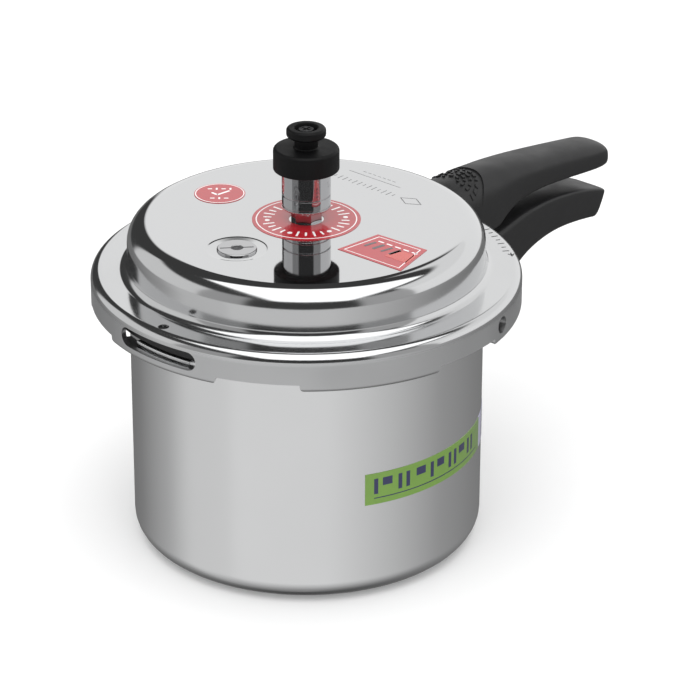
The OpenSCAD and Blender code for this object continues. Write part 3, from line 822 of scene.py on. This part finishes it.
def makeSleeve():
    low, high = boxOf("weight_sleeve")
    radius = high.x
    bore = radius - weight["wall"]
    neck = radius - weight["neck"]
    step = low.z + weight["stepHeight"]
    corners = [(bore, low.z, 0.3), (radius, low.z, weight["foot"])]
    half = weight["grooveWide"] / 2
    for lift in weight["grooves"]:
        middle = low.z + lift
        bottom = radius - weight["grooveDeep"]
        corners += [(radius, middle - half, 0.12), (bottom, middle - half, 0), (bottom, middle + half, 0),
                    (radius, middle + half, 0.12)]
    corners += [(radius, high.z, 0.3), (neck, high.z, 0), (neck, step, 0), (bore, step, 0)]
    piece = turned("weightSleeve", rounded(corners, segments=3), steps=128)
    finishPiece(piece, "turnedSteel", "weight", ["weight_sleeve"])


def makeCap():
    low, high = boxOf("weight_cap")
    sleeveSide = boxOf("weight_sleeve")[1].x + weight["capGap"]
    coreTop = boxOf("weight_core")[1].z + weight["capGap"]
    capTop = low.z + weight["capTall"]
    knobFoot = low.z + weight["waistTop"]
    dishFloor = high.z - weight["dishDepth"]
    edge, screwHole = weight["knobEdge"], weight["screwHole"]
    outline = rounded([
        (sleeveSide, low.z, 0), (high.x, low.z, 0.7), (high.x, capTop, weight["capEdge"]),
        (weight["waistRadius"], capTop, 0.8), (weight["waistRadius"], knobFoot, 0.6),
        (weight["knobRadius"], knobFoot, edge), (weight["knobRadius"], high.z, edge),
        (weight["dishRadius"], high.z, 0.6), (weight["dishRadius"] - 0.8, dishFloor, 0.3),
        (screwHole, dishFloor, 0), (screwHole, coreTop, 0), (sleeveSide, coreTop, 0)])
    piece = turned("weightCap", outline, steps=128)
    finishPiece(piece, "capPlastic", "weight", ["weight_cap"])


makeGasket()
makePlug()
makeVent()
makeSleeve()
makeCap()
print("gasket, plug, vent and weight turned")


# Labels: thin films with plain marks on them, each mark a piece of film of its own
film = {"thick": 0.2, "mark": 0.06}


def heading(degrees):
    # a step of length 1, this far round from X
    return Vector((math.cos(math.radians(degrees)), math.sin(math.radians(degrees))))


def ringPlate(name, inner, outer, bottom, thick, at=(0, 0), steps=128):
    return turned(name, rounded([(inner, bottom, 0), (outer, bottom, 0), (outer, bottom + thick, 0),
                                 (inner, bottom + thick, 0)]), at, steps)


def barMark(long, wide, bottom, thick, degrees, at):
    # a flat bar with rounded corners, turned from X about its middle
    radius = wide * 0.3
    outline = rounded([(-long / 2, -wide / 2, radius), (long / 2, -wide / 2, radius),
                       (long / 2, wide / 2, radius), (-long / 2, wide / 2, radius)], segments=2)
    piece = turnAbout(plate("mark", outline, bottom, thick), degrees)
    return shiftBy(piece, (at[0], at[1], 0))


ventSticker = {
    "hole": 9, "rimInset": (2.5, 1.9), "ring": 20.2, "marks": 30, "firstMark": -150,
    "dotRadius": 1.3, "tickLong": 6.0, "tickShort": 4.2, "tickWide": 1.1,
}


def makeVentSticker():
    low, high = boxOf("vent_sticker")
    base = ringPlate("ventSticker", ventSticker["hole"], high.x, low.z, film["thick"])
    finishPiece(base, "redFilm", "lid", ["vent_sticker"])
    top = low.z + film["thick"]
    rimInner, rimOuter = ventSticker["rimInset"]
    marks = [ringPlate("rim", high.x - rimInner, high.x - rimOuter, top, film["mark"])]
    # plain radial ticks, with a dot after every four
    for place in range(ventSticker["marks"]):
        degrees = ventSticker["firstMark"] + place * 360 / ventSticker["marks"]
        spot = heading(degrees) * ventSticker["ring"]
        ofFive = place % 5
        if ofFive == 4:
            marks.append(rod("mark", ventSticker["dotRadius"], top, top + film["mark"], spot, 32))
        else:
            long = ventSticker["tickLong"] if ofFive % 2 == 0 else ventSticker["tickShort"]
            marks.append(barMark(long, ventSticker["tickWide"], top, film["mark"], degrees, spot))
    finishPiece(joined("ventStickerMarks", marks), "whitePrint", "lid")


checkSticker = {
    "rimInset": (1.0, 0.5), "facing": -48, "rows": [(6.0, 4), (-6.6, 3)], "pitch": 3.6, "stroke": (2.4, 1.0),
    # (long, turned by, aside, onward) of the two strokes of the tick
    "tick": [(4.6, -45, -2.6, -0.6), (8.6, 42, 1.9, 0.7)], "tickWide": 1.3,
}


def makeCheckSticker():
    low, high = boxOf("check_sticker")
    radius = (high.x - low.x) / 2
    at = Vector(((low.x + high.x) / 2, (low.y + high.y) / 2))
    base = rod("checkSticker", radius, low.z, low.z + film["thick"], at, 96)
    finishPiece(base, "redFilm", "lid", ["check_sticker"])
    top = low.z + film["thick"]
    rimInner, rimOuter = checkSticker["rimInset"]
    marks = [ringPlate("rim", radius - rimInner, radius - rimOuter, top, film["mark"], at, 96)]
    # a tick between two rows of short strokes, facing the front
    facing = checkSticker["facing"]
    right = heading(facing)
    ahead = Vector((-right.y, right.x))
    long, wide = checkSticker["stroke"]
    for row, count in checkSticker["rows"]:
        for place in range(count):
            spot = at + right * (place - (count - 1) / 2) * checkSticker["pitch"] + ahead * row
            marks.append(barMark(long, wide, top, film["mark"], facing + 90 * (place % 2), spot))
    for long, turn, aside, onward in checkSticker["tick"]:
        spot = at + right * aside + ahead * onward
        marks.append(barMark(long, checkSticker["tickWide"], top, film["mark"], facing + turn, spot))
    finishPiece(joined("checkStickerMarks", marks), "whitePrint", "lid")


cornerSticker = {
    "corners": [(-18, -38), (-16.8, -79.2), (11.5, -72), (9.7, -40.6)], "border": 2.2, "line": 0.5,
    "ticks": 5, "tick": (3.6, 1.0), "tickPitch": 5.2, "tickLine": (0.82, 0.18), "patch": (0.36, 10.5),
    "strokes": 4, "strokeLong": 7.6, "strokeTurn": 78, "strokeStart": -11.5, "strokePitch": 5.4,
    "strokeAside": 1.5,
}


def makeCornerSticker():
    foot = boxOf("corner_sticker")[0].z
    corners = [Vector(corner) for corner in cornerSticker["corners"]]
    middle = sum(corners, Vector((0, 0))) / len(corners)
    base = plate("cornerSticker", corners + corners[:1], foot, film["thick"])
    finishPiece(base, "redFilm", "lid", ["corner_sticker"])
    top = foot + film["thick"]

    def inset(by):
        # the outline drawn in towards its middle, further at a corner than at a side
        return [corner + (middle - corner).normalized() * by * 1.4 for corner in corners]

    outer, inner = inset(cornerSticker["border"]), inset(cornerSticker["border"] + cornerSticker["line"])
    border = plate("border", outer + outer[:1], top, film["mark"])
    cut(border, plate("inside", inner + inner[:1], top - 1, 3))
    marks = [border]
    along = (corners[1] - corners[0]).normalized()
    degrees = math.degrees(math.atan2(along.y, along.x))
    far, near = cornerSticker["tickLine"]
    long, wide = cornerSticker["tick"]
    for place in range(cornerSticker["ticks"]):
        onward = 5 + cornerSticker["tickPitch"] * place
        spot = inner[3] * far + inner[0] * near + along * onward * 1.05
        marks.append(barMark(long, wide, top, film["mark"], degrees, spot))
    finishPiece(joined("cornerStickerBorder", marks), "whitePrint", "lid")
    # an orange patch at the far end and dark strokes across the middle
    patchSize, patchShift = cornerSticker["patch"]
    patch = [middle + (corner - middle) * patchSize + along * patchShift for corner in corners]
    finishPiece(plate("cornerStickerPatch", patch + patch[:1], top, film["mark"]),
                "orangePrint", "lid")
    strokes = []
    turn = degrees + cornerSticker["strokeTurn"]
    for place in range(cornerSticker["strokes"]):
        onward = cornerSticker["strokeStart"] + place * cornerSticker["strokePitch"]
        spot = middle + along * onward + Vector((cornerSticker["strokeAside"], 0))
        wide = 1.6 + 0.5 * (place % 2)  # thin and thick in turn
        strokes.append(barMark(cornerSticker["strokeLong"], wide, top, film["mark"], turn, spot))
    finishPiece(joined("cornerStickerStrokes", strokes), "greyInk", "lid")


label = {
    "start": -118.7, "allDegrees": 77, "stepDegrees": 1.5, "margin": 3,
    "greenDegrees": 57.4, "lineLift": 3.2, "lineTall": 0.5, "barFoot": 59.8, "barTop": 68.4,
    # (width and following gap in degrees, lift of the foot) of each printed bar
    "bars": [(1.4, 1.6, 0), (3.4, 2.2, 4.2), (1.4, 1.6, 0), (1.4, 2.6, 0), (3.8, 2.2, 4.2), (1.4, 1.6, 0),
             (3.4, 2.4, 4.2), (1.4, 1.6, 0), (1.4, 1.6, 0), (3.6, 2.2, 4.2), (1.4, 1.6, 0), (1.4, 1.2, 0)],
}


def onWall(name, fromDegrees, toDegrees, low, high, lift, thick):
    # a curved patch of film on the pot's wall, spun about the pot's axis
    inner = pot["radius"] + lift
    outer = inner + thick
    piece = drawOutline(name, [(inner, 0, low), (outer, 0, low), (outer, 0, high), (inner, 0, high),
                               (inner, 0, low)])
    bpy.ops.mesh.edge_face_add()
    sweep = toDegrees - fromDegrees
    steps = max(3, int(sweep / label["stepDegrees"]))
    bpy.ops.mesh.spin(steps=steps, angle=-math.radians(sweep), center=(0, 0, 0), axis=(0, 0, 1))
    tidyShell()
    return turnAbout(piece, fromDegrees)


def makeLabel():
    low, high = boxOf("pot_label")
    # the label starts at its most forward corner and runs towards the handles' side
    start = label["start"]
    turnTo = start + label["greenDegrees"]
    finishPiece(onWall("labelGreen", start, turnTo, low.z, high.z, 0, film["thick"]),
                "greenFilm", "pot", ["pot_label"])
    finishPiece(onWall("labelPale", turnTo, start + label["allDegrees"], low.z, high.z, 0, film["thick"]),
                "paleFilm", "pot")
    lift, thick = film["thick"], film["mark"]
    left = start + label["margin"]
    lineFoot = low.z + label["lineLift"]
    marks = [onWall("line", left, turnTo - 4, lineFoot, lineFoot + label["lineTall"], lift, thick)]
    # a row of plain upright bars, wide and narrow in turn
    for wide, gap, raised in label["bars"]:
        foot = label["barFoot"] + raised
        marks.append(onWall("bar", left, left + wide, foot, label["barTop"], lift, thick))
        left += wide + gap
    finishPiece(joined("labelMarks", marks), "inkPrint", "pot")


etching = {
    "deep": 0.03, "diamondAt": (54, -24), "diamond": (4.6, 7.5), "diamondFrame": 0.86, "pitch": 3.4,
    "strokes": 14, "strokeStart": -12, "strokeLong": 4.6, "strokeShort": 2.6,
    "lineLong": 36, "lineAt": (64, 10), "dashes": 7, "dashAt": 68,
}
stamp = {
    "ring": 107.2, "start": -19.5, "pitch": 2.7, "strokes": 8, "long": 3.6, "short": 2.4,
    "arrow": [(4.6, 90, 0), (2.4, 50, 0.9), (2.4, 130, -0.9)],  # (long, turned by, outer)
}


def makeEtching():
    # a small diamond, a row of strokes and thin lines, lightly etched in the lid's top
    top = lidHigh.z
    deep = etching["deep"]
    at = Vector(etching["diamondAt"])
    wide, tall = etching["diamond"]
    frameOuter = [at + Vector(step) for step in ((-wide, 0), (0, -tall), (wide, 0), (0, tall))]
    frameInner = [at + (corner - at) * etching["diamondFrame"] for corner in frameOuter]
    diamond = plate("diamond", frameOuter + frameOuter[:1], top, deep)
    cut(diamond, plate("inside", frameInner + frameInner[:1], top - 1, 2))
    marks = [diamond]
    pitch = etching["pitch"]
    for place in range(etching["strokes"]):
        long = etching["strokeLong"] if place % 3 else etching["strokeShort"]
        marks.append(barMark(long, 0.5, top, deep, 0, (at.x, etching["strokeStart"] + place * pitch)))
    marks.append(barMark(etching["lineLong"], 0.35, top, deep, 90, etching["lineAt"]))
    for place in range(etching["dashes"]):
        marks.append(barMark(2.2, 0.4, top, deep, 90, (etching["dashAt"], place * pitch)))
    finishPiece(joined("lidEtching", marks), "etched", "lid")

    # short strokes and an arrow stamped round the ledge beside the handle, coloured dark as painted shade in
    # the stamped grooves
    marks = []
    ring = stamp["ring"]
    for place in range(stamp["strokes"]):
        degrees = stamp["start"] - place * stamp["pitch"]
        long = stamp["long"] if place % 2 else stamp["short"]
        spot = heading(degrees) * (ring - 2)
        marks.append(barMark(long, 0.8, ledgeTop, deep, degrees, spot))
    degrees = stamp["start"] - stamp["strokes"] * stamp["pitch"]
    for long, turn, outer in stamp["arrow"]:
        spot = heading(degrees) * (ring + outer)
        marks.append(barMark(long, 0.7, ledgeTop, deep, degrees + turn, spot))
    finishPiece(joined("ledgeStamp", marks), "stampGrooveShade", "lid")


makeVentSticker()
makeCheckSticker()
makeCornerSticker()
makeLabel()
makeEtching()
print("labels and marks laid on")


# The small parts that stay as they are get their finishes
kept = {
    "groundSteel": ["pot_handle_bracket", "pot_handle_screws", "pot_handle_nuts", "lid_handle_bracket",
                    "lid_handle_screws", "lid_handle_washers", "vent_nut", "safety_plug_nut"],
    "turnedSteel": ["weight_needle", "weight_core"],
    # the weight screw is painted near black, as painted shade in the knob's dish
    "paintedShadeSteel": ["weight_screw"],
    "rivetMetal": ["pot_bracket_rivets", "lid_bracket_rivets", "vent_washer"],
    "brass": ["lid_handle_inserts"],
    "fusibleAlloy": ["safety_plug_alloy"],
    "rubber": ["safety_plug_washer"],
}
for finishName, nodeNames in kept.items():
    for nodeName in nodeNames:
        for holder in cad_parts[nodeName].material_slots:
            holder.link = "OBJECT"
            holder.material = finishes[finishName]
print("kept parts finished")


# Floor, light and camera
studio = {
    # floor size and drop, lamps' places and sizes and the near clip are in metres
    "floorTone": (0.88, 0.88, 0.88), "floorSize": 40, "floorDrop": 0.0005, "paleTone": 1.0,
    "azimuth": -48, "elevation": 25.37, "distance": 1713.1, "target": (15.1, -16.8, 100), "roll": 0.18,
    "lens": 168.3, "clipStart": 0.01,
}
lamps = [  # name, place, size, watts
    ("overheadPanel", (-0.3, -0.2, 1.6), 1.6, 14),
    ("frontPanel", (-1.5, -1.9, 1.1), 1.2, 7),
]


def makeFloor():
    deselectAll()
    drop = studio["floorDrop"]
    bpy.ops.mesh.primitive_plane_add(size=studio["floorSize"], location=(0, 0, -drop))
    floor = nameIt("studioFloor")
    material, *_, shader = newFinish("floorPaper", studio["floorTone"], 0.9)
    shader.inputs["Specular IOR Level"].default_value = 0.1
    floor.data.materials.append(material)
    floor.visible_glossy = False


def softBox(nodes, links, source, low, high, blur):
    # 1 between low and high, with soft edges, and 0 outside
    sides = []
    for edge, sign in ((low, 1), (high, -1)):
        step = spread(nodes, links, source, 0, 1, edge - sign * blur, edge + sign * blur)
        step.node.interpolation_type = "SMOOTHSTEP"
        sides.append(step)
    return mathNode(nodes, links, "MULTIPLY", *sides)


# Light cards round the set, by azimuth from straight behind the object and by elevation, in degrees
cards = [
    # azimuth low, high, elevation low, high, edge blur, brightness
    (-11, 110, -4, 30, 2.0, 1.0),
    (12, 110, 24, 46, 3.0, 0.92),
    (-112, -44, -5, 37, 3.0, 0.76),
    (-143, -108, -5, 37, 4.0, 0.40),
    (108, 146, -5, 37, 4.0, 0.44),
]
# The overhead softbox, as sideways and backwards slopes from straight up
overhead = {"side": (-0.55, 0.80), "back": (-1.38, 0.36), "blur": 0.06, "tone": 1.7}
# Above, the room between the lights; below, how dark and blurred the table gets
room = {
    "tone": 0.055, "nadirTone": 0.35, "nadirDegrees": (-75, -35), "horizon": (-4, 200), "horizonBlur": 1.5,
}
# What the sides of the object mirror from the table, by azimuth from the front
tableTones = [(-180, 0.15), (-140, 0.20), (-102, 0.40), (-83, 0.62), (-52, 0.64), (-48, 0.71), (15, 0.70),
              (64, 0.47), (98, 0.30), (140, 0.22), (180, 0.17)]


def makeRoom():
    world = bpy.data.worlds.new("studioRoom")
    scene.world = world
    world.use_nodes = True
    nodes, links = world.node_tree.nodes, world.node_tree.links
    nodes.clear()

    def times(*sources):
        return mathNode(nodes, links, "MULTIPLY", *sources)

    def brighter(*sources):
        return mathNode(nodes, links, "MAXIMUM", *sources)

    direction = nodes.new("ShaderNodeTexCoord").outputs["Generated"]
    turn = nodes.new("ShaderNodeVectorRotate")
    turn.rotation_type = "Z_AXIS"
    turn.inputs["Angle"].default_value = math.radians(-studio["azimuth"])
    links.new(direction, turn.inputs["Vector"])
    split = nodes.new("ShaderNodeSeparateXYZ")
    links.new(turn.outputs[0], split.inputs[0])
    side, back, height = split.outputs
    degree = 180 / math.pi
    azimuth = times(mathNode(nodes, links, "ARCTAN2", side, back), degree)
    elevation = times(mathNode(nodes, links, "ARCSINE", height), degree)
    above = room["tone"]
    for low, high, bottom, top, blur, tone in cards:
        wide = softBox(nodes, links, azimuth, low, high, blur)
        tall = softBox(nodes, links, elevation, bottom, top, blur)
        above = brighter(above, times(times(wide, tall), tone))
    aloft = brighter(height, 0.05)
    sideSlope = mathNode(nodes, links, "DIVIDE", side, aloft)
    backSlope = mathNode(nodes, links, "DIVIDE", back, aloft)
    sideways = softBox(nodes, links, sideSlope, *overhead["side"], overhead["blur"])
    backwards = softBox(nodes, links, backSlope, *overhead["back"], overhead["blur"])
    above = brighter(above, times(times(sideways, backwards), overhead["tone"]))

    # the table's mirrored tones, by azimuth from the front, darker straight down
    fromFront = mathNode(nodes, links, "ARCTAN2", side, times(back, -1.0))
    share = mathNode(nodes, links, "MULTIPLY_ADD", fromFront, 0.5 / math.pi, 0.5)
    ramp = nodes.new("ShaderNodeValToRGB")
    links.new(share, ramp.inputs[0])
    stops = ramp.color_ramp.elements
    while len(stops) < len(tableTones):
        stops.new(0.5)
    for stop, (degrees, tone) in zip(stops, tableTones):
        stop.position = degrees / 360 + 0.5
        stop.color = (tone, tone, tone, 1)
    nadir = spread(nodes, links, elevation, room["nadirTone"], 1.0, *room["nadirDegrees"])
    below = times(ramp.outputs["Color"], nadir)
    horizon = softBox(nodes, links, elevation, *room["horizon"], room["horizonBlur"])
    tone = nodes.new("ShaderNodeMix")
    links.new(horizon, tone.inputs["Factor"])
    links.new(below, tone.inputs["A"])
    links.new(above, tone.inputs["B"])

    # the camera itself, and the paper and print, see an even pale room
    path = nodes.new("ShaderNodeLightPath")
    even = brighter(path.outputs["Is Camera Ray"], path.outputs["Is Diffuse Ray"])
    seen = nodes.new("ShaderNodeMix")
    seen.inputs["B"].default_value = studio["paleTone"]
    links.new(even, seen.inputs["Factor"])
    links.new(tone.outputs["Result"], seen.inputs["A"])
    background = nodes.new("ShaderNodeBackground")
    links.new(seen.outputs["Result"], background.inputs["Color"])
    output = nodes.new("ShaderNodeOutputWorld")
    links.new(background.outputs[0], output.inputs[0])


def makeLights():
    for name, place, size, watts in lamps:
        deselectAll()
        bpy.ops.object.light_add(type="AREA", location=place)
        lamp = bpy.context.object
        lamp.name = name
        lamp.data.size = size
        lamp.data.energy = watts
        lamp.rotation_euler = (-Vector(place)).to_track_quat("-Z", "Y").to_euler()
        lamp.visible_glossy = False


def makeCamera():
    around, up = math.radians(studio["azimuth"]), math.radians(studio["elevation"])
    away = Vector((math.sin(around) * math.cos(up), -math.cos(around) * math.cos(up), math.sin(up)))
    target = Vector(studio["target"]) * mm
    place = target + away * studio["distance"] * mm
    deselectAll()
    bpy.ops.object.camera_add(location=place)
    camera = bpy.context.object
    camera.name = "studioCamera"
    aim = (target - place).to_track_quat("-Z", "Y").to_matrix().to_4x4()
    roll = Matrix.Rotation(math.radians(studio["roll"]), 4, "Z")
    camera.rotation_euler = (aim @ roll).to_euler()
    camera.data.lens = studio["lens"]
    camera.data.clip_start = studio["clipStart"]
    scene.camera = camera


makeFloor()
makeRoom()
makeLights()
makeCamera()
scene.view_settings.view_transform = "Standard"
print("studio lit")
